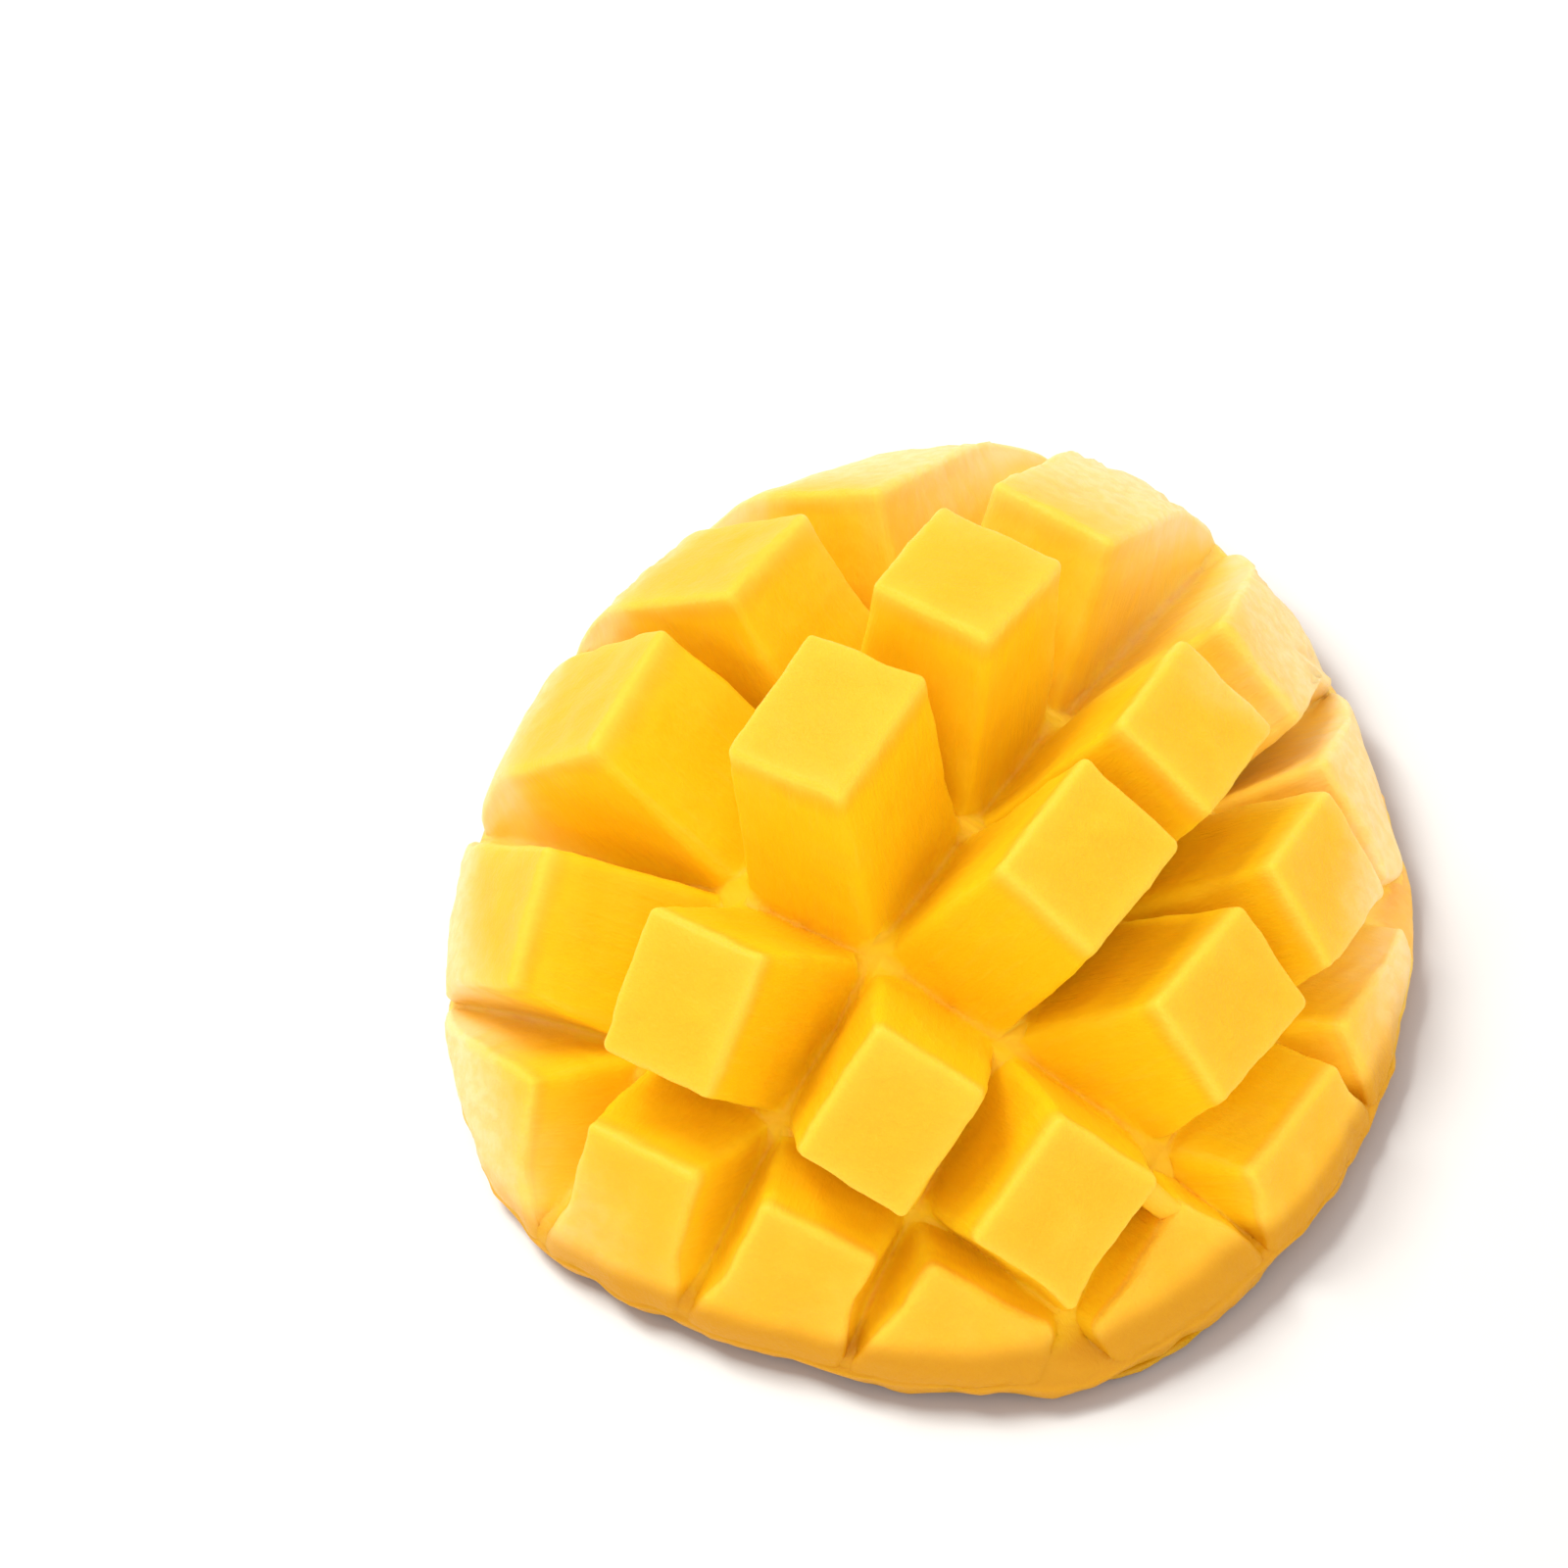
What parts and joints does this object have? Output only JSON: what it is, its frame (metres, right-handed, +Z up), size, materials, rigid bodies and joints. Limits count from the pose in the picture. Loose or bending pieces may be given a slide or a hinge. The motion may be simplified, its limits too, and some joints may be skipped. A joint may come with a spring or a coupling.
{
  "type": "cubed mango half",
  "caption": "Mango cheek scored in a grid and pushed inside out, so its flesh stands up in blocks on a domed skin.",
  "frame": {"origin": "centre of the bounding box's bottom, on the surface the half rests on", "axes": "+Z up out of the flesh, -Y towards the side that the picture looks from, +X to its right"},
  "size_m": [0.1218, 0.1396, 0.0505],
  "materials": {
    "mango_half": "moist satin yellow mango flesh"
  },
  "bodies": {
    "root": {"mango_half": "mango_half"}
  },
  "joints": []
}
